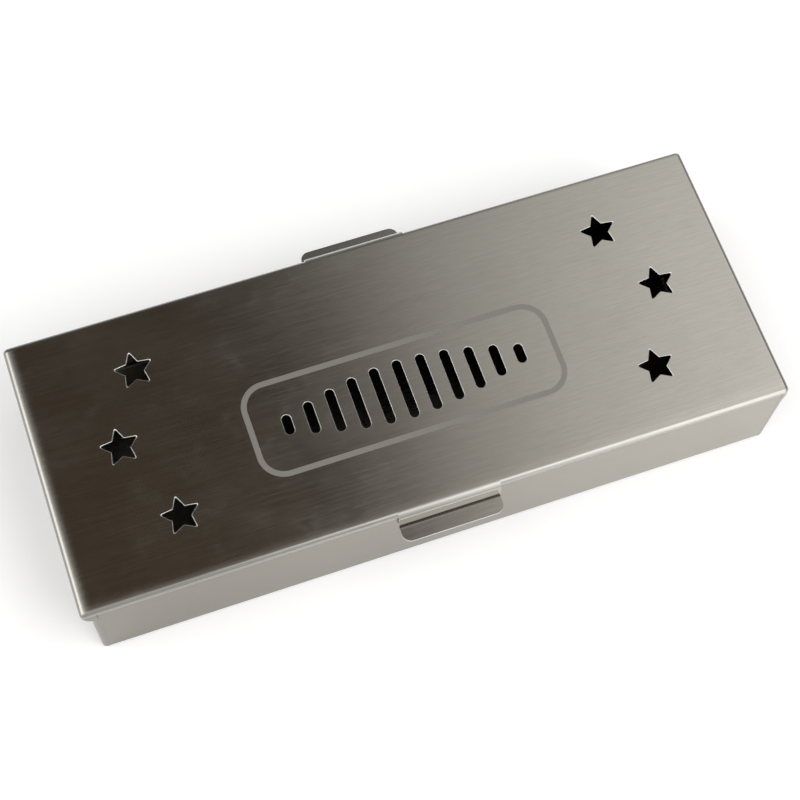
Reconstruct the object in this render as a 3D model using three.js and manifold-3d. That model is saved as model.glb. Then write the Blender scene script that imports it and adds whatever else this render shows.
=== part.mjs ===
// Grill smoker box in brushed stainless sheet: a folded trough, two pressed end walls
// that close it, and a lift-off lid with vents and a finger tab at the front and the back.
// Millimetres, +Z up. The origin is on the ground under the middle of the lid.
// +X runs along the box and +Y to its back.

import * as THREE from "three";
import { mergeVertices } from "three/addons/utils/BufferGeometryUtils.js";
import Module from "manifold-3d";

// Sheet metal
const sheet = 0.8; // thickness of every piece
const clearance = 0.3; // between pieces that touch on the real box

// Lid
const lidLength = 240;
const lidWidth = 95.2;
const boxHeight = 40; // from the ground to the lid's top face
const lipDepth = 2; // from the top face to the lower edge of the lip
const lidBend = 1.5; // outer radius of the bend into the lip
const lidCornerEase = 0.2; // how much larger the radius of a corner is, seen from above

// Finger tabs of the lid
const tabWidth = 34.5;
const tabOffset = 0.8; // how far the tabs sit to the right of the lid's middle
const tabDrop = 8; // from the lid's top face to the upper face of a tab's flange
const tabReach = 5.5; // flange, from the web's outer face to its free edge
const tabFillet = 0.8; // inner radius between web and flange
const tabCorner = 3; // rounding of the flange's free corners

// Star vents
const starRadius = 6.7;
const starValley = 3.3; // radius to the inner corners
const starTip = 0.7; // length of each side that the rounding of a point takes
const starPoints = 5;
const starPlaceShares = [
  [0.679, 0.565],
  [0.775, 0.055],
  [0.677, -0.534],
]; // of the lid's half length and half width, repeated on the other side

// Slot vents, a row whose lengths swell towards the middle
const slotCount = 11;
const slotPitch = 8;
const slotWidth = 3.2;
const slotShortest = 7;
const slotLongest = 21;
const slotRowPlace = -7; // along Y

// Tray
const trayBend = 2; // outer radius where the trough's floor turns up into its walls
const leftStep = 2.9; // how far the left end wall is set in from the end of the lid
const rightStep = 0.5; // the same at the right end
const rimHeight = 0.7; // upright part of an end wall's rim, under the lid's lip
const joggleHeight = 6.7; // height in which an end wall steps out to its rim
const endCorner = 1.5; // outer radius where an end wall turns in at the front and the back
const endBendEase = 0.5; // how much larger the radius is at its lower edge
const lapDepth = 8; // reach of an end wall's flanges inside the trough
const lapRelief = 3; // how far those flanges stop below the rim

// Drawing
const arcSteps = 4; // each arc of an outline gets twice as many edges
const bevelSteps = 5;
const overrun = 4; // how far a cutting solid passes what it cuts
const weldDistance = 0.0005; // vertices closer than this are one

// Sizes and places that follow
const lidCorner = lidBend + lidCornerEase;
const endBend = endCorner + endBendEase;
const wallTop = boxHeight - lipDepth - clearance;
const trayWidth = lidWidth;
const leftFace = -lidLength / 2 + leftStep;
const rightFace = lidLength / 2 - rightStep;
const bendLine = lidWidth / 2 - lidBend;
const webOuter = trayWidth / 2 + clearance + sheet;
const tabEdge = webOuter + tabReach;

const wasm = await Module();
wasm.setup();

// A closed geometry as a solid that can be joined and cut.
function toSolid(geometry) {
  const bare = geometry.clone();
  bare.deleteAttribute("normal");
  bare.deleteAttribute("uv");
  const merged = mergeVertices(bare, weldDistance);
  const corners = merged.index.array;
  const kept = [];
  for (let i = 0; i < corners.length; i += 3) {
    const [a, b, c] = [corners[i], corners[i + 1], corners[i + 2]];
    if (a !== b && b !== c && c !== a) kept.push(a, b, c);
  }
  const mesh = new wasm.Mesh({
    numProp: 3,
    vertProperties: new Float32Array(merged.attributes.position.array),
    triVerts: new Uint32Array(kept),
  });
  return new wasm.Manifold(mesh);
}

// A solid as geometry with flat faces.
function toGeometry(solid) {
  const mesh = solid.getMesh();
  const places = new Float32Array(mesh.vertProperties);
  const geometry = new THREE.BufferGeometry();
  geometry.setAttribute("position", new THREE.BufferAttribute(places, 3));
  geometry.setIndex(new THREE.BufferAttribute(new Uint32Array(mesh.triVerts), 1));
  const flat = geometry.toNonIndexed();
  flat.computeVertexNormals();
  return flat;
}

// A block between two opposite corners.
function box(x0, x1, y0, y1, z0, z1) {
  const block = new THREE.BoxGeometry(Math.abs(x1 - x0), Math.abs(y1 - y0), Math.abs(z1 - z0));
  block.translate((x0 + x1) / 2, (y0 + y1) / 2, (z0 + z1) / 2);
  return toSolid(block);
}

// Outlines drawn in X and Y, standing from z0 up to z1.
function standing(shapes, z0, z1) {
  const block = new THREE.ExtrudeGeometry(shapes, {
    depth: z1 - z0,
    bevelEnabled: false,
    curveSegments: arcSteps,
  });
  block.translate(0, 0, z0);
  return toSolid(block);
}

// An outline drawn in Y and Z, running along the box from x0 to x1.
function alongBox(shape, x0, x1) {
  const block = new THREE.ExtrudeGeometry(shape, {
    depth: x1 - x0,
    bevelEnabled: false,
    curveSegments: arcSteps,
  });
  block.rotateX(Math.PI / 2);
  block.rotateZ(Math.PI / 2);
  block.translate(x0, 0, 0);
  return toSolid(block);
}

// An outline drawn in X and Z, running across the box, with its front and back edges rounded.
function acrossBox(shape, halfWidth, rounding) {
  const block = new THREE.ExtrudeGeometry(shape, {
    depth: 2 * (halfWidth - rounding),
    bevelEnabled: true,
    bevelThickness: rounding,
    bevelSize: rounding,
    bevelOffset: -rounding,
    bevelSegments: bevelSteps,
    curveSegments: arcSteps,
  });
  block.rotateX(Math.PI / 2);
  block.translate(0, halfWidth - rounding, 0);
  return toSolid(block);
}

function roundedRectangle(halfLength, halfWidth, radius) {
  const x = halfLength - radius;
  const y = halfWidth - radius;
  const shape = new THREE.Shape();
  shape.absarc(x, y, radius, 0, Math.PI / 2);
  shape.absarc(-x, y, radius, Math.PI / 2, Math.PI);
  shape.absarc(-x, -y, radius, Math.PI, 1.5 * Math.PI);
  shape.absarc(x, -y, radius, 1.5 * Math.PI, 2 * Math.PI);
  shape.closePath();
  return shape;
}

// The lid's outside, or its inside at an inset of one sheet, as a full block with upright
// sides and a rounded edge round its top. The lid's own frame has its top face at z = 0.
function lidBlock(inset) {
  const rounding = lidBend - inset;
  const outline = roundedRectangle(lidLength / 2 - inset, lidWidth / 2 - inset, lidCorner - inset);
  const depth = lipDepth + overrun;
  const block = new THREE.ExtrudeGeometry(outline, {
    depth,
    bevelEnabled: true,
    bevelThickness: rounding,
    bevelSize: rounding,
    bevelOffset: -rounding,
    bevelSegments: bevelSteps,
    curveSegments: arcSteps,
  });
  block.translate(0, 0, -inset - rounding - depth);
  return toSolid(block);
}

// Section of a finger tab in Y and Z: it leaves the lid at the bend, comes down just outside
// the tray's wall and turns out into a flange.
function tabSection() {
  const bend = webOuter - bendLine;
  const filletY = webOuter + tabFillet;
  const filletZ = -tabDrop + tabFillet;
  const shape = new THREE.Shape();
  shape.moveTo(bendLine - overrun, -sheet);
  shape.lineTo(bendLine - overrun, 0);
  shape.absarc(bendLine, -bend, bend, Math.PI / 2, 0, true);
  shape.absarc(filletY, filletZ, tabFillet, Math.PI, 1.5 * Math.PI, false);
  shape.lineTo(tabEdge, -tabDrop);
  shape.lineTo(tabEdge, -tabDrop - sheet);
  shape.absarc(filletY, filletZ, tabFillet + sheet, 1.5 * Math.PI, Math.PI, true);
  shape.absarc(bendLine, -bend, bend - sheet, 0, Math.PI / 2, false);
  shape.closePath();
  return shape;
}

// Seen from above, a tab has square corners at the lid and rounded ones at its free edge.
function tabPlan() {
  const x = tabWidth / 2 - tabCorner;
  const y = tabEdge - tabCorner;
  const shape = new THREE.Shape();
  shape.moveTo(-tabWidth / 2, bendLine - overrun);
  shape.lineTo(tabWidth / 2, bendLine - overrun);
  shape.absarc(x, y, tabCorner, 0, Math.PI / 2);
  shape.absarc(-x, y, tabCorner, Math.PI / 2, Math.PI);
  shape.closePath();
  return shape;
}

// The finger tab at the back. A half turn makes it the one at the front.
function tabSolid() {
  const swept = alongBox(tabSection(), -tabWidth / 2, tabWidth / 2);
  const outline = standing(tabPlan(), -tabDrop - overrun, overrun);
  return swept.intersect(outline);
}

// Corner of a star: even numbers are its points and odd ones its inner corners.
function starCorner(x, y, number) {
  const radius = number % 2 === 0 ? starRadius : starValley;
  const angle = Math.PI / 2 + (number * Math.PI) / starPoints;
  return new THREE.Vector2(x + radius * Math.cos(angle), y + radius * Math.sin(angle));
}

function starOutline(x, y) {
  const shape = new THREE.Shape();
  for (let i = 0; i < starPoints; i += 1) {
    const before = starCorner(x, y, 2 * i - 1);
    const point = starCorner(x, y, 2 * i);
    const after = starCorner(x, y, 2 * i + 1);
    const start = before.clone().sub(point).setLength(starTip).add(point);
    const end = after.clone().sub(point).setLength(starTip).add(point);
    if (i === 0) shape.moveTo(start.x, start.y);
    else shape.lineTo(start.x, start.y);
    shape.quadraticCurveTo(point.x, point.y, end.x, end.y);
    shape.lineTo(after.x, after.y);
  }
  shape.closePath();
  return shape;
}

function starOutlines() {
  return [-1, 1].flatMap((side) =>
    starPlaceShares.map(([lengthShare, widthShare]) =>
      starOutline((side * lengthShare * lidLength) / 2, (widthShare * lidWidth) / 2),
    ),
  );
}

function slotOutline(x, y, length) {
  const radius = slotWidth / 2;
  const reach = length / 2 - radius;
  const shape = new THREE.Shape();
  shape.absarc(x, y + reach, radius, 0, Math.PI);
  shape.absarc(x, y - reach, radius, Math.PI, 2 * Math.PI);
  shape.closePath();
  return shape;
}

function slotOutlines() {
  const middle = (slotCount - 1) / 2;
  const shapes = [];
  for (let i = 0; i < slotCount; i += 1) {
    const swell = Math.cos(((i - middle) / middle) * (Math.PI / 2));
    const length = slotShortest + (slotLongest - slotShortest) * swell;
    shapes.push(slotOutline((i - middle) * slotPitch, slotRowPlace, length));
  }
  return shapes;
}

function lidSolid() {
  const reachX = lidLength / 2 + overrun;
  const reachY = lidWidth / 2 + overrun;
  const below = -lipDepth - lidBend - 2 * overrun;
  const shell = lidBlock(0).subtract(lidBlock(sheet));
  let lid = shell.subtract(box(-reachX, reachX, -reachY, reachY, below, -lipDepth));
  const left = tabOffset - tabWidth / 2;
  const right = tabOffset + tabWidth / 2;
  const tab = tabSolid();
  for (const side of [1, -1]) {
    lid = lid.subtract(box(left, right, side * bendLine, side * reachY, below, overrun));
    const turned = side > 0 ? tab : tab.rotate([0, 0, 180]);
    lid = lid.add(turned.translate([tabOffset, 0, 0]));
  }
  const vents = [...starOutlines(), ...slotOutlines()];
  return lid.subtract(standing(vents, -sheet - overrun, overrun));
}

// Section of a channel in Y and Z: a floor between two upright walls of one height.
function channelSection(halfWidth, floor, top, thickness, radius) {
  const y = halfWidth - radius;
  const z = floor + radius;
  const innerRadius = Math.max(radius - thickness, weldDistance);
  const innerY = halfWidth - thickness - innerRadius;
  const innerZ = floor + thickness + innerRadius;
  const shape = new THREE.Shape();
  shape.moveTo(-halfWidth + thickness, top);
  shape.lineTo(-halfWidth, top);
  shape.absarc(-y, z, radius, Math.PI, 1.5 * Math.PI, false);
  shape.absarc(y, z, radius, 1.5 * Math.PI, 2 * Math.PI, false);
  shape.lineTo(halfWidth, top);
  shape.lineTo(halfWidth - thickness, top);
  shape.absarc(innerY, innerZ, innerRadius, 0, -Math.PI / 2, true);
  shape.absarc(-innerY, innerZ, innerRadius, 1.5 * Math.PI, Math.PI, true);
  shape.closePath();
  return shape;
}

// The trough runs from one end wall's edge to the other's.
function troughSolid() {
  const halfLength = (rightFace - leftFace) / 2 - endBend - clearance;
  const section = channelSection(trayWidth / 2, 0, wallTop, sheet, trayBend);
  return alongBox(section, -halfLength, halfLength);
}

// Outline of an end wall in X and Z, as a full block, or its inside at an inset of one sheet.
// In its own frame the wall's outer face is at x = 0 and looks along +X. From its rounded
// lower edge the outline goes up over the joggle to the rim, which stands out by step.
function endOutline(step, inset) {
  const turn = 2 * Math.atan(step / joggleHeight);
  const radius = joggleHeight / (2 * Math.sin(turn));
  const high = wallTop - rimHeight;
  const low = high - joggleHeight;
  const shape = new THREE.Shape();
  shape.moveTo(-endBend - lapDepth, wallTop + overrun);
  shape.lineTo(-endBend - lapDepth, inset);
  shape.absarc(-endBend, endBend, endBend - inset, -Math.PI / 2, 0, false);
  shape.absarc(radius, low, radius + inset, Math.PI, Math.PI - turn, true);
  shape.absarc(step - radius, high, radius - inset, -turn, 0, false);
  shape.lineTo(step - inset, wallTop + overrun);
  shape.closePath();
  return shape;
}

// An end wall's skin lies flush with the trough. Behind its edge it steps in by one sheet,
// and its flanges run on inside the trough.
function endWallSolid(step) {
  const halfWidth = trayWidth / 2;
  const reachY = halfWidth + overrun;
  const farIn = -endBend - lapDepth - overrun;
  const lapTop = wallTop - lapRelief;

  const outer = acrossBox(endOutline(step, 0), halfWidth, endCorner);
  const inner = acrossBox(endOutline(step, sheet), halfWidth - sheet, endCorner - sheet);
  const above = box(farIn, step + overrun, -reachY, reachY, wallTop, wallTop + 2 * overrun);
  const behind = box(farIn, -endBend, -reachY, reachY, -overrun, wallTop + overrun);
  const skin = outer.subtract(inner).subtract(above).subtract(behind);

  const stepSection = channelSection(halfWidth, 0, lapTop, 2 * sheet + clearance, trayBend);
  const stepPlate = alongBox(stepSection, -endBend, -endBend + sheet).intersect(outer);

  const lapRadius = Math.max(trayBend - sheet - clearance, weldDistance);
  const lapHalfWidth = halfWidth - sheet - clearance;
  const lapSection = channelSection(lapHalfWidth, sheet + clearance, lapTop, sheet, lapRadius);
  const lap = alongBox(lapSection, -endBend - lapDepth, -endBend + sheet);
  return skin.add(stepPlate).add(lap);
}

function piece(name, solid, steel) {
  const mesh = new THREE.Mesh(toGeometry(solid), new THREE.MeshStandardMaterial(steel));
  mesh.name = name;
  return mesh;
}

const traySteel = { color: 0xa8a59d, roughness: 0.4, metalness: 1 };
const lidSteel = { color: 0x9d9a94, roughness: 0.35, metalness: 1 };

const trough = piece("tray_trough", troughSolid(), traySteel);
trough.position.x = (leftFace + rightFace) / 2;

const leftEnd = piece("left_end_wall", endWallSolid(leftStep), traySteel);
leftEnd.position.x = leftFace;
leftEnd.rotation.z = Math.PI;

const rightEnd = piece("right_end_wall", endWallSolid(rightStep), traySteel);
rightEnd.position.x = rightFace;

const tray = new THREE.Group();
tray.add(trough, leftEnd, rightEnd);

const lid = piece("lid", lidSolid(), lidSteel);
lid.position.z = boxHeight;

const smokerBox = new THREE.Group();
smokerBox.add(tray, lid);

export default smokerBox;
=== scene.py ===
# Looks of a grill smoker box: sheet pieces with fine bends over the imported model,
# brushed steel, a plain floor, soft light and the camera.

from math import atan, cos, pi, radians, sin, sqrt, tan

import bmesh
import bpy
from mathutils import Matrix, Vector


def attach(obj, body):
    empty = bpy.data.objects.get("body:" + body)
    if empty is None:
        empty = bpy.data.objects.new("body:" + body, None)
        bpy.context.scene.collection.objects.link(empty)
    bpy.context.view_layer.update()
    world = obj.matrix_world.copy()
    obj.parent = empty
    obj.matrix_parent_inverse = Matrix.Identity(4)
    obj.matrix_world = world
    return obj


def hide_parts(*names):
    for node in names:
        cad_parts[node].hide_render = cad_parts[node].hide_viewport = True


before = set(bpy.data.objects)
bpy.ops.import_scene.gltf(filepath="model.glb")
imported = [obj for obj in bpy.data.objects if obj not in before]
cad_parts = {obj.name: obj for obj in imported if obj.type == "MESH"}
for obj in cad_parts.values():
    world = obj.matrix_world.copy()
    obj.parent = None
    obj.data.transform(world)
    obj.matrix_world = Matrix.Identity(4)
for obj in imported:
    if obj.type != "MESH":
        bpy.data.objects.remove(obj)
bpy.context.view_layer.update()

scene = bpy.context.scene
scene.view_settings.view_transform = "Standard"
mm = 0.001
hair = 0.01 * mm  # points closer than this are at the same place
sheet = 0.8 * mm  # thickness of every piece


class Signal:
    # a socket in a node tree, to be used in sums

    def __init__(self, tree, socket=None):
        self.tree = tree
        self.socket = socket

    def node(self, kind, settings=None, sockets=None, out=0):
        # any node: its settings first, then the values or links of its sockets
        made = self.tree.nodes.new("ShaderNode" + kind)
        for key, value in (settings or {}).items():
            if key == "stops":
                ramp = made.color_ramp
                while len(ramp.elements) < len(value):
                    ramp.elements.new(0.5)
                for element, (place, colour) in zip(ramp.elements, value):
                    element.position = place
                    element.color = (*colour, 1.0)
            else:
                setattr(made, key, value)
        for key, value in (sockets or {}).items():
            if isinstance(value, Signal):
                self.tree.links.new(value.socket, made.inputs[key])
            else:
                made.inputs[key].default_value = value
        return Signal(self.tree, made.outputs[out] if len(made.outputs) else None)

    def math(self, operation, *values):
        return self.node("Math", {"operation": operation}, dict(enumerate(values)))

    def __add__(self, other):
        return self.math("ADD", self, other)

    def __radd__(self, other):
        return self.math("ADD", other, self)

    def __sub__(self, other):
        return self.math("SUBTRACT", self, other)

    def __rsub__(self, other):
        return self.math("SUBTRACT", other, self)

    def __mul__(self, other):
        return self.math("MULTIPLY", self, other)

    def __rmul__(self, other):
        return self.math("MULTIPLY", other, self)

    def __truediv__(self, other):
        return self.math("DIVIDE", self, other)

    def __pow__(self, other):
        return self.math("POWER", self, other)

    def __neg__(self):
        return self.math("MULTIPLY", self, -1)

    def __abs__(self):
        return self.math("ABSOLUTE", self)

    def atLeast(self, other):
        return self.math("MAXIMUM", self, other)

    def atMost(self, other):
        return self.math("MINIMUM", self, other)

    def over(self, low, high):
        # 0 below low, 1 above high, smooth in between
        return self.node(
            "MapRange",
            {"interpolation_type": "SMOOTHSTEP"},
            {"Value": self, "From Min": low, "From Max": high},
        )

    def between(self, first, second):
        # the first number where this is 0, the second where it is 1
        return first + self * (second - first)

    def blend(self, first, second):
        # the same for two colours
        made = self.node("Mix", {"data_type": "RGBA"}, {"Factor": self}, out=2)
        for key, value in ((6, first), (7, second)):
            socket = made.socket.node.inputs[key]
            if isinstance(value, Signal):
                self.tree.links.new(value.socket, socket)
            else:
                socket.default_value = (*value, 1.0)
        return made

    def grey(self):
        return self.node("CombineXYZ", None, {0: self, 1: self, 2: self})

    def axes(self):
        split = self.node("SeparateXYZ", sockets={0: self}).socket.node
        return [Signal(self.tree, split.outputs[key]) for key in "XYZ"]


def newTree(owner):
    owner.use_nodes = True
    owner.node_tree.nodes.clear()
    return Signal(owner.node_tree)


def objectPlace(shade):
    return shade.node("TexCoord", out=3)


def rayKinds(shade, *kinds):
    light = shade.node("LightPath").socket.node
    return [Signal(shade.tree, light.outputs[f"Is {kind} Ray"]) for kind in kinds]


def distance(*parts):
    return sum(part * part for part in parts) ** 0.5


def noise(shade, place, size, detail, **more):
    values = {"Vector": place, "Scale": 1 / size, "Detail": detail, **more}
    return shade.node("TexNoise", None, values)


def drawnNoise(shade, place, along, look):
    # noise drawn out along one axis
    scale = [1 / look["width"]] * 3
    scale[along] = 1 / look["length"]
    drawn = shade.node("Mapping", None, {"Vector": place, "Scale": scale})
    return noise(shade, drawn, 1.0, look["detail"], Roughness=0.6)


def metal(shade, sockets):
    surface = shade.node("BsdfPrincipled", None, {"Metallic": 1.0, **sockets})
    shade.node("OutputMaterial", None, {"Surface": surface})


steelLook = {
    "lid": {"tones": ((0.370, 0.357, 0.326), (0.470, 0.457, 0.419)), "roughness": 0.165},
    "tray": {"tones": ((0.236, 0.217, 0.180), (0.300, 0.278, 0.232)), "roughness": 0.20},
    # the lid's underside: painted shade, its steel made near-black so that the vents look dark
    # inside
    "under": {"tones": ((0.072, 0.067, 0.059), (0.108, 0.101, 0.089)), "roughness": 0.50},
    "inside": {"tones": ((0.255, 0.245, 0.220), (0.325, 0.312, 0.283)), "roughness": 0.28},
    "relief": 0.0013 * mm,
}
# how far each pattern changes the steel's tone and its roughness, and for two its height
fineLook = {
    "length": 6 * mm, "width": 0.16 * mm, "detail": 3.0,
    "tone": 1.1, "roughness": 0.06, "height": 1.0,
}
streakLook = {
    "length": 30 * mm, "width": 0.8 * mm, "detail": 2.0,
    "tone": 0.5, "roughness": 0.05, "height": 0.15,
}
cloudLook = {"size": 30 * mm, "detail": 2.0, "tone": 0.4, "roughness": 0.06}
smudgeLook = {
    "size": 9 * mm, "detail": 4.0, "distortion": 0.6,
    "from": 0.50, "to": 0.72, "roughness": 0.02,
}


def brushedSteel(name, side, along, finish=None):
    material = bpy.data.materials.new(name)
    shade = newTree(material)
    place = objectPlace(shade)
    fine = drawnNoise(shade, place, along, fineLook)
    streak = drawnNoise(shade, place, along, streakLook)
    cloud = noise(shade, place, cloudLook["size"], cloudLook["detail"])
    smudge = noise(
        shade, place, smudgeLook["size"], smudgeLook["detail"], Distortion=smudgeLook["distortion"]
    ).over(smudgeLook["from"], smudgeLook["to"])

    tone = 0.5
    rough = steelLook[side]["roughness"] + smudgeLook["roughness"] * smudge
    for pattern, look in ((fine, fineLook), (streak, streakLook), (cloud, cloudLook)):
        tone = tone + look["tone"] * (pattern - 0.5)
        rough = rough + look["roughness"] * (pattern - 0.5)
    colour = tone.over(0.0, 1.0).blend(*steelLook[side]["tones"])
    height = fineLook["height"] * fine + streakLook["height"] * streak
    if finish:
        colour, rough, height = finish(shade, place, colour, rough, height)

    bump = shade.node(
        "Bump", None, {"Strength": 1.0, "Distance": steelLook["relief"], "Height": height}
    )
    metal(shade, {"Base Color": colour, "Roughness": rough, "Normal": bump})
    return material


cutHighlightLook = {
    # pale tones: a painted highlight, brighter than the steel itself
    "tones": ((0.76, 0.75, 0.72), (0.92, 0.91, 0.88)),
    "roughness": 0.55,
    "speck": 0.4 * mm,
    "detail": 3.0,
    "from": 0.3,
    "to": 0.7,
    "speckRoughness": 0.2,
}


def cutSteelWithHighlight(name):
    # sheared and laser-cut edges: finer, without grain, and paler than the steel itself, a painted
    # highlight along every cut
    material = bpy.data.materials.new(name)
    shade = newTree(material)
    speck = noise(shade, objectPlace(shade), cutHighlightLook["speck"], cutHighlightLook["detail"])
    colour = speck.over(cutHighlightLook["from"], cutHighlightLook["to"]).blend(*cutHighlightLook["tones"])
    rough = cutHighlightLook["roughness"] + cutHighlightLook["speckRoughness"] * (speck - 0.5)
    metal(shade, {"Base Color": colour, "Roughness": rough})
    return material


band = {
    "middle": -7 * mm,  # along Y
    "halfLength": 52 * mm,
    "halfWidth": 16 * mm,
    "corner": 8 * mm,
    "line": 1.9 * mm,
    "soft": 0.08 * mm,
    "colour": (0.360, 0.346, 0.316),
    "roughness": 0.50,
    "speck": 0.25 * mm,
    "detail": 2.0,
    "speckRoughness": 0.1,
}
# painted shade along the inner fold of each tab, where the crease lies in shade
foldShade = {
    "y": 48.7 * mm,
    "z": 32 * mm,
    "dark": 0.45 * mm,
    "clear": 0.8 * mm,
    "colour": (0.07, 0.062, 0.05),
}


def etchedBandAndFoldShade(shade, place, colour, rough, height):
    # a matt line round the slots
    x, y, z = place.axes()
    corner, half = band["corner"], band["line"] / 2
    acrossX = abs(x) - (band["halfLength"] - corner)
    acrossY = abs(y - band["middle"]) - (band["halfWidth"] - corner)
    outside = distance(acrossX.atLeast(0.0), acrossY.atLeast(0.0))
    inside = acrossX.atLeast(acrossY).atMost(0.0)
    away = abs(outside + inside - corner)
    mask = 1 - away.over(half - band["soft"], half + band["soft"])
    speck = noise(shade, place, band["speck"], band["detail"])
    matt = band["roughness"] + band["speckRoughness"] * (speck - 0.5)
    colour = mask.blend(colour, band["colour"])
    rough = mask.between(rough, matt)
    height = mask.between(height, speck)

    # painted shade: the inner fold of each tab is coloured near-black along its crease
    creaseShade = distance(abs(y) - foldShade["y"], z - foldShade["z"])
    creaseShade = 1 - creaseShade.over(foldShade["dark"], foldShade["clear"])
    colour = creaseShade.blend(colour, foldShade["colour"])
    return colour, rough, height


weld = {
    "middle": 1.2 * mm,  # between the two end walls' laps, along X
    "fromMiddle": 112.6 * mm,
    "spots": [  # how far off the middle along Y, and how high
        (46.4 * mm, 9 * mm),
        (46.4 * mm, 19 * mm),
        (46.4 * mm, 29 * mm),
        (12 * mm, 1.2 * mm),
        (34 * mm, 1.2 * mm),
    ],
    "radius": 1.7 * mm,
    "ease": 0.35 * mm,
    "rim": 2.6 * mm,
    "depth": 12.0,  # as a share of the grain's height
    "tint": (0.150, 0.118, 0.090),
    "tintShare": 0.55,
    "clean": 0.6,  # how much of the tint the dent itself loses
    "roughness": 0.12,
}


def spotWelds(shade, place, colour, rough, height):
    # shallow round dents with a heat tint, where the laps are welded to the trough
    x, y, z = place.axes()
    outX = abs(x - weld["middle"]) - weld["fromMiddle"]
    nearest = None
    for offMiddle, high in weld["spots"]:
        away = distance(outX, abs(y) - offMiddle, z - high)
        nearest = nearest.atMost(away) if nearest else away
    dent = 1 - nearest.over(weld["radius"] - weld["ease"], weld["radius"])
    tint = 1 - nearest.over(weld["radius"], weld["rim"])
    tint = weld["tintShare"] * tint * (1 - weld["clean"] * dent)
    colour = tint.blend(colour, weld["tint"])
    rough = rough + weld["roughness"] * dent
    height = height - weld["depth"] * dent
    return colour, rough, height


lidSteel = brushedSteel("lidSteel", "lid", 0, etchedBandAndFoldShade)
troughSteel = brushedSteel("troughSteel", "tray", 0)
endSteel = brushedSteel("endSteel", "tray", 1)
underShadeSteel = brushedSteel("underShadeSteel", "under", 0)
insideSteel = brushedSteel("insideSteel", "inside", 0)
lapSteel = brushedSteel("lapSteel", "inside", 1, spotWelds)
edgeHighlightSteel = cutSteelWithHighlight("edgeHighlightSteel")
print("materials")


def ofKind(found, kind):
    return [g for g in found if isinstance(g, kind)]


def pull(bm, edges, move):
    # a straight stretch of sheet from open edges
    made = bmesh.ops.extrude_edge_only(bm, edges=edges)["geom"]
    verts = ofKind(made, bmesh.types.BMVert)
    bmesh.ops.translate(bm, verts=verts, vec=move)
    ends = set(verts)
    return [e for e in bm.edges if set(e.verts) <= ends]


def bend(bm, edges, centre, axis, angle, steps):
    # a bent stretch of sheet from open edges
    made = bmesh.ops.spin(
        bm, geom=edges, cent=centre, axis=axis, angle=angle, steps=steps,
        dvec=(0, 0, 0), use_merge=False, use_duplicate=False,
    )
    return ofKind(made["geom_last"], bmesh.types.BMEdge)


def cut(bm, place, normal, clear=False):
    bmesh.ops.bisect_plane(
        bm, geom=bm.verts[:] + bm.edges[:] + bm.faces[:],
        plane_co=place, plane_no=normal, clear_outer=clear,
    )


def roundOff(bm, geom, offset, segments, affect):
    bmesh.ops.bevel(
        bm, geom=geom, affect=affect, offset=offset, offset_type="OFFSET",
        segments=segments, profile=0.5, material=-1,
    )


def facing(bm, axis):
    # above 0 where the faces on the whole look along the axis
    return sum(face.normal[axis] * face.calc_area() for face in bm.faces)


def sheetPiece(name, bm, up, finishes, body, node):
    # thickness, crisp cut edges and even shading, then the piece takes its node's place;
    # up says whether its outer side looks up or down
    bmesh.ops.remove_doubles(bm, verts=bm.verts, dist=hair / 10)
    bmesh.ops.recalc_face_normals(bm, faces=bm.faces)
    if up * facing(bm, 2) < 0:
        bmesh.ops.reverse_faces(bm, faces=bm.faces)
    mesh = bpy.data.meshes.new(name)
    bm.to_mesh(mesh)
    bm.free()
    piece = bpy.data.objects.new(name, mesh)
    scene.collection.objects.link(piece)
    for material in (*finishes, edgeHighlightSteel):
        mesh.materials.append(material)

    wall = piece.modifiers.new("wall", "SOLIDIFY")
    wall.thickness = sheet
    wall.offset = -1.0
    wall.use_even_offset = False
    wall.material_offset = 1
    # the cut rims take the pale cut-edge steel, a painted highlight
    wall.material_offset_rim = 2
    shown = piece.evaluated_get(bpy.context.evaluated_depsgraph_get())
    solid = bpy.data.meshes.new_from_object(shown)
    piece.modifiers.clear()
    piece.data = solid
    solid.name = name
    solid.polygons.foreach_set("use_smooth", [True] * len(solid.polygons))
    solid.set_sharp_from_angle(angle=radians(20))
    even = piece.modifiers.new("even", "WEIGHTED_NORMAL")
    even.keep_sharp = True
    even.weight = 100

    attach(piece, body)
    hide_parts(node)
    print(name, len(solid.polygons), "faces")


lid = {
    "length": 240 * mm,
    "width": 95.2 * mm,
    "top": 40 * mm,
    "lip": 2 * mm,
    "corner": 1.7 * mm,
    "cornerSteps": 6,
    "bend": 1.5 * mm,
    "bendSteps": 8,
    "ease": 0.16 * mm,
    "roll": 5 * mm,  # width of the strip that is drawn down beside a bend
    "rollSteps": 5,
    "rollDrop": 0.45 * mm,
}
tab = {
    "middle": 0.8 * mm,
    "width": 34.5 * mm,
    "bend": 2.45 * mm,  # wider than the lip's, so that the web clears the tray
    "bendSteps": 8,
    "lean": radians(2),
    "dip": radians(3.5),
    "drop": 8 * mm,
    "fillet": 0.8 * mm,
    "filletSteps": 6,
    "edge": 54.2 * mm,
    "corner": 3 * mm,
    "cornerSteps": 8,
}
star = {
    "points": 5,
    "radius": 6.65 * mm,
    "valley": 3.25 * mm,
    "tip": 1.1 * mm,
    "tipSteps": 4,
    "places": [(0.679, 0.565), (0.775, 0.055), (0.677, -0.534)],  # of half the length and width
}
slots = {
    "count": 11,
    "pitch": 8 * mm,
    "width": 3.2 * mm,
    "shortest": 7 * mm,
    "longest": 21 * mm,
    "middle": -7 * mm,
    "edges": 26,
}


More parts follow.
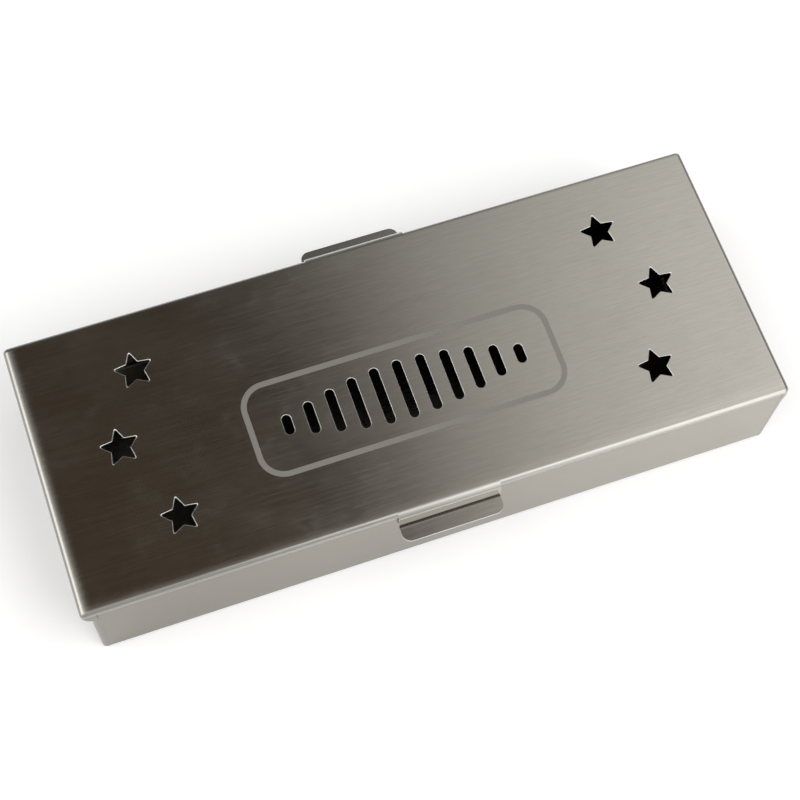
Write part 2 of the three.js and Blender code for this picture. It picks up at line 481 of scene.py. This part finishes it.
def lidPan():
    # a shallow pan upside down, with rows of points where it is drawn down later
    bm = bmesh.new()
    length, width, top, lip = lid["length"], lid["width"], lid["top"], lid["lip"]
    bmesh.ops.create_cube(bm, size=1)
    bmesh.ops.scale(bm, verts=bm.verts, vec=(length, width, lip))
    bmesh.ops.translate(bm, verts=bm.verts, vec=(0, 0, top - lip / 2))
    under = [f for f in bm.faces if f.calc_center_median().z < top - 0.9 * lip]
    bmesh.ops.delete(bm, geom=under, context="FACES_ONLY")
    upright = [e for e in bm.edges if abs(e.verts[0].co.z - e.verts[1].co.z) > lip / 2]
    roundOff(bm, upright, lid["corner"], lid["cornerSteps"], "EDGES")
    rim = [e for e in bm.edges if min(v.co.z for v in e.verts) > top - lip / 2]
    roundOff(bm, rim, lid["bend"], lid["bendSteps"], "EDGES")
    for i in range(1, lid["rollSteps"] + 1):
        inset = lid["bend"] + (lid["roll"] - lid["bend"]) * i / lid["rollSteps"]
        for side in (1, -1):
            cut(bm, (side * (length / 2 - inset), 0, 0), (1, 0, 0))
            cut(bm, (0, side * (width / 2 - inset), 0), (0, 1, 0))
    return bm


def fingerTab(bm, row, side, bendLine):
    # a bend, the leaning web, a fillet the other way and the flange
    axis = (-side, 0, 0)
    lean, dip, fillet = tab["lean"], tab["dip"], tab["fillet"]
    centre = (0, side * bendLine, lid["top"] - tab["bend"])
    row = bend(bm, row, centre, axis, pi / 2 - lean, tab["bendSteps"])
    start = row[0].verts[0].co
    web = (start.z - lid["top"] + tab["drop"] - fillet * (1 - sin(lean))) / cos(lean)
    row = pull(bm, row, (0, side * web * sin(lean), -web * cos(lean)))
    start = row[0].verts[0].co
    centre = (0, start.y + side * fillet * cos(lean), start.z + fillet * sin(lean))
    row = bend(bm, row, centre, axis, lean + dip - pi / 2, tab["filletSteps"])
    reach = tab["edge"] - abs(row[0].verts[0].co.y)
    pull(bm, row, (0, side * reach, -reach * tan(dip)))
    corners = [v for v in bm.verts if abs(v.co.y - side * tab["edge"]) < hair]
    roundOff(bm, corners, tab["corner"], tab["cornerSteps"], "VERTICES")


def addTabs(bm):
    # the lip gives way to the tabs
    bendLine = lid["width"] / 2 - lid["bend"]
    left = tab["middle"] - tab["width"] / 2
    right = tab["middle"] + tab["width"] / 2
    for x in (left, right):
        cut(bm, (x, 0, 0), (1, 0, 0))
    gone = []
    for face in bm.faces:
        middle = face.calc_center_median()
        if left < middle.x < right and abs(middle.y) > bendLine:
            gone.append(face)
    bmesh.ops.delete(bm, geom=gone, context="FACES")
    for side in (1, -1):
        row = []
        for edge in bm.edges:
            middle = (edge.verts[0].co + edge.verts[1].co) / 2
            level = abs(edge.verts[0].co.y - edge.verts[1].co.y) < hair
            if level and left < middle.x < right and abs(middle.y - side * bendLine) < hair:
                row.append(edge)
        fingerTab(bm, row, side, bendLine)


def sinkIn(bm, edges):
    # the eased edge of a cut: its ring on the face is drawn down to the true outline
    made = bmesh.ops.extrude_edge_only(bm, edges=edges)["geom"]
    # the eased ring takes the pale cut-edge steel: a painted highlight round each vent
    for face in ofKind(made, bmesh.types.BMFace):
        face.material_index = 2
    verts = ofKind(made, bmesh.types.BMVert)
    bmesh.ops.translate(bm, verts=verts, vec=(0, 0, -lid["ease"]))
    return verts


def starVent(bm, x, y):
    radius, valley, turn = star["radius"], star["valley"], pi / star["points"]
    bmesh.ops.create_circle(
        bm, cap_ends=False, radius=radius, segments=star["points"],
        matrix=Matrix.Translation((x, y, lid["top"])),
    )
    sides = [e for e in bm.edges if e.is_wire]
    halved = bmesh.ops.subdivide_edges(bm, edges=sides, cuts=1)["geom_inner"]
    valleys = ofKind(halved, bmesh.types.BMVert)
    tips = list({v for e in bm.edges if e.is_wire for v in e.verts} - set(valleys))
    middle = Matrix.Translation((-x, -y, 0))
    inwards = valley / (radius * cos(turn))
    bmesh.ops.scale(bm, verts=valleys, vec=(inwards, inwards, 1), space=middle)
    # all sides of a star lie equally far from its middle, so growing it moves them alike
    side = sqrt(radius ** 2 + valley ** 2 - 2 * radius * valley * cos(turn))
    size = 1 + lid["ease"] * side / (radius * valley * sin(turn))
    bmesh.ops.scale(bm, verts=tips + valleys, vec=(size, size, 1), space=middle)
    roundOff(bm, tips, star["tip"], star["tipSteps"], "VERTICES")
    ring = sinkIn(bm, [e for e in bm.edges if e.is_wire])
    bmesh.ops.scale(bm, verts=ring, vec=(1 / size, 1 / size, 1), space=middle)


def slotVent(bm, x, y, length):
    radius = slots["width"] / 2
    wide = radius + lid["ease"]
    loop = bmesh.ops.create_circle(
        bm, cap_ends=False, radius=wide / cos(pi / slots["edges"]), segments=slots["edges"],
        matrix=Matrix.Translation((x, y, lid["top"])),
    )["verts"]
    reach = length / 2 - radius
    for side in (1, -1):
        half = [v for v in loop if (v.co.y - y) * side > 0]
        bmesh.ops.translate(bm, verts=half, vec=(0, side * reach, 0))
    ring = sinkIn(bm, [e for e in bm.edges if e.is_wire])
    for side in (1, -1):
        half = [v for v in ring if (v.co.y - y) * side > 0]
        middle = Matrix.Translation((-x, -y - side * reach, 0))
        bmesh.ops.scale(bm, verts=half, vec=(radius / wide, radius / wide, 1), space=middle)


def addVents(bm):
    # the flat of the top goes, and is filled again round the vents
    halfLength, halfWidth, top = lid["length"] / 2, lid["width"] / 2, lid["top"]
    flat = []
    for face in bm.faces:
        middle = face.calc_center_median()
        if abs(middle.x) < halfLength - lid["roll"] and abs(middle.y) < halfWidth - lid["roll"]:
            flat.append(face)
    bmesh.ops.delete(bm, geom=flat, context="FACES")
    for side in (1, -1):
        for shareX, shareY in star["places"]:
            starVent(bm, side * shareX * halfLength, shareY * halfWidth)
    middle = (slots["count"] - 1) / 2
    for i in range(slots["count"]):
        swell = cos((i - middle) / middle * pi / 2)
        long = slots["shortest"] + (slots["longest"] - slots["shortest"]) * swell
        slotVent(bm, (i - middle) * slots["pitch"], slots["middle"], long)
    rims = []
    for edge in bm.edges:
        if edge.is_boundary and min(v.co.z for v in edge.verts) > top - hair / 10:
            rims.append(edge)
    bmesh.ops.triangle_fill(bm, use_beauty=False, edges=rims, normal=(0, 0, 1))


def drawDown(bm):
    # near its front and left bends the sheet is drawn down a little
    for vert in bm.verts:
        nearX = max(0, 1 - max(0, lid["length"] / 2 + vert.co.x) / lid["roll"])
        nearY = max(0, 1 - max(0, lid["width"] / 2 + vert.co.y) / lid["roll"])
        share = max(0, 1 - (lid["top"] - vert.co.z) / lid["lip"])
        vert.co.z -= lid["rollDrop"] * share * (nearX ** 2 + nearY ** 2)


def lidSheet():
    bm = lidPan()
    addTabs(bm)
    addVents(bm)
    drawDown(bm)
    sheetPiece("lidSheet", bm, 1, (lidSteel, underShadeSteel), "lid", "lid")


lidSheet()


tray = {
    "width": 95.2 * mm,
    "height": 37.7 * mm,
    "bend": 2 * mm,
    "bendSteps": 10,
    "leftFace": -117.1 * mm,
    "rightFace": 119.5 * mm,
    "gap": 0.3 * mm,
}
endWall = {
    "bend": 2 * mm,
    "bendSteps": 10,
    "corner": 1.5 * mm,
    "cornerSteps": 6,
    "rim": 0.7 * mm,
    "joggle": 6.7 * mm,  # height in which the wall steps out to its rim
    "joggleSteps": 12,
    "leftStep": 2.9 * mm,
    "rightStep": 0.5 * mm,
    "lap": 8 * mm,
    "lapTop": 34.7 * mm,
    "lapSlope": 1.4 * mm,
    "lapSlopeSteps": 5,
}


def troughSheet():
    bm = bmesh.new()
    half, height, radius = tray["width"] / 2, tray["height"], tray["bend"]
    inset = endWall["bend"] + tray["gap"]
    ends = (tray["leftFace"] + inset, tray["rightFace"] - inset)
    row = [bm.edges.new([bm.verts.new((x, -half, height)) for x in ends])]
    row = pull(bm, row, (0, 0, radius - height))
    row = bend(bm, row, (0, radius - half, radius), (1, 0, 0), pi / 2, tray["bendSteps"])
    row = pull(bm, row, (0, 2 * (half - radius), 0))
    row = bend(bm, row, (0, half - radius, radius), (1, 0, 0), pi / 2, tray["bendSteps"])
    pull(bm, row, (0, 0, height - radius))
    sheetPiece(
        "troughSheet", bm, -1, (troughSteel, insideSteel), "tray", "tray_trough"
    )


def endShell():
    # the outer face at x = 0 looking along +X, turned in at its foot and its sides
    bm = bmesh.new()
    half, height, foot = tray["width"] / 2, tray["height"], endWall["bend"]
    deep = 3 * foot
    bmesh.ops.create_cube(bm, size=1)
    bmesh.ops.scale(bm, verts=bm.verts, vec=(deep, 2 * half, height))
    bmesh.ops.translate(bm, verts=bm.verts, vec=(-deep / 2, 0, height / 2))
    gone = []
    for side in bm.faces:
        middle = side.calc_center_median()
        if middle.x < -0.9 * deep or middle.z > 0.9 * height:
            gone.append(side)
    bmesh.ops.delete(bm, geom=gone, context="FACES")
    low = [e for e in bm.edges if all(v.co.x > -hair and v.co.z < hair for v in e.verts)]
    roundOff(bm, low, foot, endWall["bendSteps"], "EDGES")
    sides = []
    for edge in bm.edges:
        places = [v.co.y for v in edge.verts]
        atSide = min(places) > half - hair or max(places) < hair - half
        if atSide and not edge.is_boundary:
            sides.append(edge)
    roundOff(bm, sides, endWall["corner"], endWall["cornerSteps"], "EDGES")
    cut(bm, (-foot, 0, 0), (-1, 0, 0), clear=True)
    return bm


def stepOut(bm, step):
    # the upper part steps out under the lid's lip, in two arcs
    joggle, levels = endWall["joggle"], endWall["joggleSteps"]
    top = tray["height"] - endWall["rim"]
    bottom = top - joggle
    turn = 2 * atan(step / joggle)
    radius = joggle / (2 * sin(turn))
    for i in range(levels + 1):
        cut(bm, (0, 0, bottom + joggle * i / levels), (0, 0, 1))
    cut(bm, (0, 0, endWall["lapTop"]), (0, 0, 1))
    for vert in bm.verts:
        if vert.co.x < hair - endWall["bend"] or vert.co.z < bottom:
            continue
        rise = min(vert.co.z, top) - bottom
        if rise < joggle / 2:
            vert.co.x += radius - sqrt(radius ** 2 - rise ** 2)
        else:
            vert.co.x += step - radius + sqrt(radius ** 2 - (joggle - rise) ** 2)


def acrossPlace(vert):
    return round(vert.co.y, 7), round(vert.co.z, 7)


def addLaps(bm):
    # flanges step in by one sheet and run on inside the trough
    foot, slope, steps = endWall["bend"], endWall["lapSlope"], endWall["lapSlopeSteps"]
    bmesh.ops.recalc_face_normals(bm, faces=bm.faces)
    bm.normal_update()
    if facing(bm, 0) < 0:
        bmesh.ops.reverse_faces(bm, faces=bm.faces)
    bm.normal_update()
    row = []
    for edge in bm.edges:
        if edge.is_boundary and all(
            v.co.x < hair - foot and v.co.z < endWall["lapTop"] + hair for v in edge.verts
        ):
            row.append(edge)
    outwards = {}
    for edge in row:
        for vert in edge.verts:
            outwards[acrossPlace(vert)] = vert.normal.copy()
    for i in range(steps):
        row = pull(bm, row, (-slope / steps, 0, 0))
    for vert in bm.verts:
        if vert.co.x < -foot - hair:
            share = (-foot - vert.co.x) / slope
            ease = share * share * (3 - 2 * share)
            out = outwards[acrossPlace(vert)]
            vert.co -= Vector((0, out.y, out.z)).normalized() * (sheet + tray["gap"]) * ease
    pull(bm, row, (slope - endWall["lap"], 0, 0))


def endSheet(name, node, face, turn, step):
    bm = endShell()
    stepOut(bm, step)
    addLaps(bm)
    place = Matrix.Translation((face, 0, 0)) @ Matrix.Rotation(turn, 4, "Z")
    bmesh.ops.transform(bm, matrix=place, verts=bm.verts)
    sheetPiece(name, bm, -1, (endSteel, lapSteel), "tray", node)


troughSheet()
endSheet("leftEndSheet", "left_end_wall", tray["leftFace"], pi, endWall["leftStep"])
endSheet("rightEndSheet", "right_end_wall", tray["rightFace"], 0.0, endWall["rightStep"])


ground = {
    "reach": 3.0,
    "below": 0.3 * mm,
    "colour": (0.8, 0.8, 0.8),
    "roughness": 0.9,
    "glow": 0.25,
    "farGlow": 0.2,
    "far": (0.3, 1.1),
    "across": (-0.14, 0.14),  # the steel mirrors a floor that is dimmer at the left
    "mirrored": (0.2, 1.6),
}


def floorPiece():
    bm = bmesh.new()
    bmesh.ops.create_grid(bm, x_segments=1, y_segments=1, size=ground["reach"])
    bmesh.ops.translate(bm, verts=bm.verts, vec=(0, 0, -ground["below"]))
    mesh = bpy.data.meshes.new("floor")
    bm.to_mesh(mesh)
    bm.free()
    floor = bpy.data.objects.new("floor", mesh)
    scene.collection.objects.link(floor)
    material = bpy.data.materials.new("paleFloor")
    shade = newTree(material)
    camera, glossy, clear = rayKinds(shade, "Camera", "Glossy", "Transmission")
    seen = camera.atLeast(glossy).atLeast(clear)
    x, y = objectPlace(shade).axes()[:2]
    glow = ground["glow"] + ground["farGlow"] * distance(x, y).over(*ground["far"])
    mirrored = x.over(*ground["across"]).between(*ground["mirrored"])
    glow = glow * glossy.between(1, mirrored)
    values = {
        "Base Color": (*ground["colour"], 1.0),
        "Roughness": ground["roughness"],
        "Specular IOR Level": 0.0,
        "Emission Color": (seen * glow).blend((0.0, 0.0, 0.0), (1.0, 1.0, 1.0)),
        "Emission Strength": 1.0,
    }
    surface = shade.node("BsdfPrincipled", None, values)
    shade.node("OutputMaterial", None, {"Surface": surface})
    mesh.materials.append(material)


floorPiece()


studio = {
    # levels of the room's light, and where each side starts and ends, as parts of a
    # ray's direction
    "plain": 0.8,
    "left": {"level": 2.1, "x": (0.15, 0.45), "z": (0.28, 0.52)},
    "right": {"level": 0.38, "x": (0.45, 0.62)},
    "front": {
        "y": (0.05, 0.60),
        "left": 0.65,
        "low": 0.9,
        "middle": 2.3,
        "high": 2.4,
        "middleEnds": (0.38, 0.55),
        "highStarts": (0.60, 0.85),
        "leftEnds": (0.15, 0.38),
    },
    "back": {
        "y": (0.44, 0.54),
        "low": 0.45,
        "left": 0.08,
        "right": 0.9,
        "across": (0.1, 0.45),
        "highStarts": (0.40, 0.68),
    },
}
card = {
    # a dark card overhead on the left, its right edge soft: slope of the ray, colour
    "stops": [
        (0.060, (0.073, 0.051, 0.031)),
        (0.115, (0.034, 0.021, 0.012)),
        (0.143, (0.085, 0.071, 0.058)),
        (0.171, (0.280, 0.262, 0.240)),
        (0.200, (0.490, 0.475, 0.450)),
        (0.229, (0.650, 0.640, 0.615)),
        (0.257, (0.760, 0.750, 0.725)),
        (0.295, (0.850, 0.840, 0.815)),
        (0.334, (0.965, 0.955, 0.930)),
        (0.372, (1.120, 1.110, 1.080)),
        (0.400, (1.190, 1.180, 1.150)),
    ],
    "left": (-0.45, -0.12),
    "right": (0.55, 0.80),
    "front": (-0.30, 0.20),
    "back": (0.53, 0.68),
    "slant": 1.05,  # it brightens towards the front, within these limits
    "slantFrom": 0.40,
    "slantLimits": (0.8, 1.6),
}


def roomLevel(x, y, z):
    # the front of the room is dim on the left and bright on the right, its back and right are dim
    front, back, left, right = (studio[key] for key in ("front", "back", "left", "right"))
    level = x.over(*right["x"]).between(studio["plain"], right["level"])
    level = ((-x).over(*left["x"]) * z.over(*left["z"])).between(level, left["level"])
    backLevel = x.over(*back["across"]).between(back["left"], back["right"])
    backLevel = z.over(*back["highStarts"]).between(back["low"], backLevel)
    level = y.over(*back["y"]).between(level, backLevel)
    bright = (1 - x.over(*front["middleEnds"])).between(front["low"], front["middle"])
    bright = z.over(*front["highStarts"]).between(bright, front["high"])
    side = -(x / y.atMost(-0.05))
    frontLevel = side.over(*front["leftEnds"]).between(front["left"], bright)
    return (-y).over(*front["y"]).between(level, frontLevel)


def sky():
    world = bpy.data.worlds.new("studio")
    scene.world = world
    shade = newTree(world)
    camera, = rayKinds(shade, "Camera")
    x, y, z = shade.node("TexCoord").axes()
    up = z.atLeast(0.05)
    slopeX = x / up
    slopeY = y / up
    first, last = card["stops"][0][0], card["stops"][-1][0]
    stops = [((slope - first) / (last - first), colour) for slope, colour in card["stops"]]
    lit = shade.node("ValToRGB", {"stops": stops}, {"Fac": (slopeX - first) / (last - first)})
    inCard = slopeX.over(*card["left"]) * (1 - slopeX.over(*card["right"]))
    inCard = inCard * slopeY.over(*card["front"]) * (1 - slopeY.over(*card["back"]))
    least, most = card["slantLimits"]
    nearer = 1 + card["slant"] * (card["slantFrom"] - slopeY)
    nearer = nearer.atLeast(least).atMost(most)
    lit = lit.node("VectorMath", {"operation": "MULTIPLY"}, {0: lit, 1: nearer.grey()})
    colour = inCard.blend(roomLevel(x, y, z).grey(), lit)
    glow = shade.node("Background", None, {"Color": colour, "Strength": 1.0})
    plain = shade.node("Background", None, {"Color": (1.0, 1.0, 1.0, 1.0), "Strength": 1.0})
    mixed = shade.node("MixShader", None, {0: camera, 1: glow, 2: plain})
    shade.node("OutputWorld", None, {"Surface": mixed})


sky()


lamp = {
    "place": (0.42, -0.42, 0.70),
    "size": 0.7,
    "power": 3.0,
}


def keyLight():
    data = bpy.data.lights.new("keyLight", "AREA")
    data.shape = "SQUARE"
    data.size = lamp["size"]
    data.energy = lamp["power"]
    key = bpy.data.objects.new("keyLight", data)
    scene.collection.objects.link(key)
    key.location = lamp["place"]
    key.rotation_euler = Vector(lamp["place"]).to_track_quat("Z", "Y").to_euler()
    key.visible_glossy = False  # the steel mirrors the room alone


keyLight()


view = {
    "place": Vector((-94.87, -208.75, 564.23)) * mm,
    "aim": Vector((-3.017, -10.283, 40.0)) * mm,
    "roll": radians(5.9286),
    "lens": 78.878,
    "sensor": 36.0,
}


def photoCamera():
    data = bpy.data.cameras.new("photoCamera")
    data.lens = view["lens"]
    data.sensor_width = view["sensor"]
    camera = bpy.data.objects.new("photoCamera", data)
    scene.collection.objects.link(camera)
    turned = (view["place"] - view["aim"]).to_track_quat("Z", "Y").to_matrix().to_4x4()
    turned = turned @ Matrix.Rotation(view["roll"], 4, "Z")
    camera.matrix_world = Matrix.Translation(view["place"]) @ turned
    scene.camera = camera


photoCamera()
print("floor, light, camera")
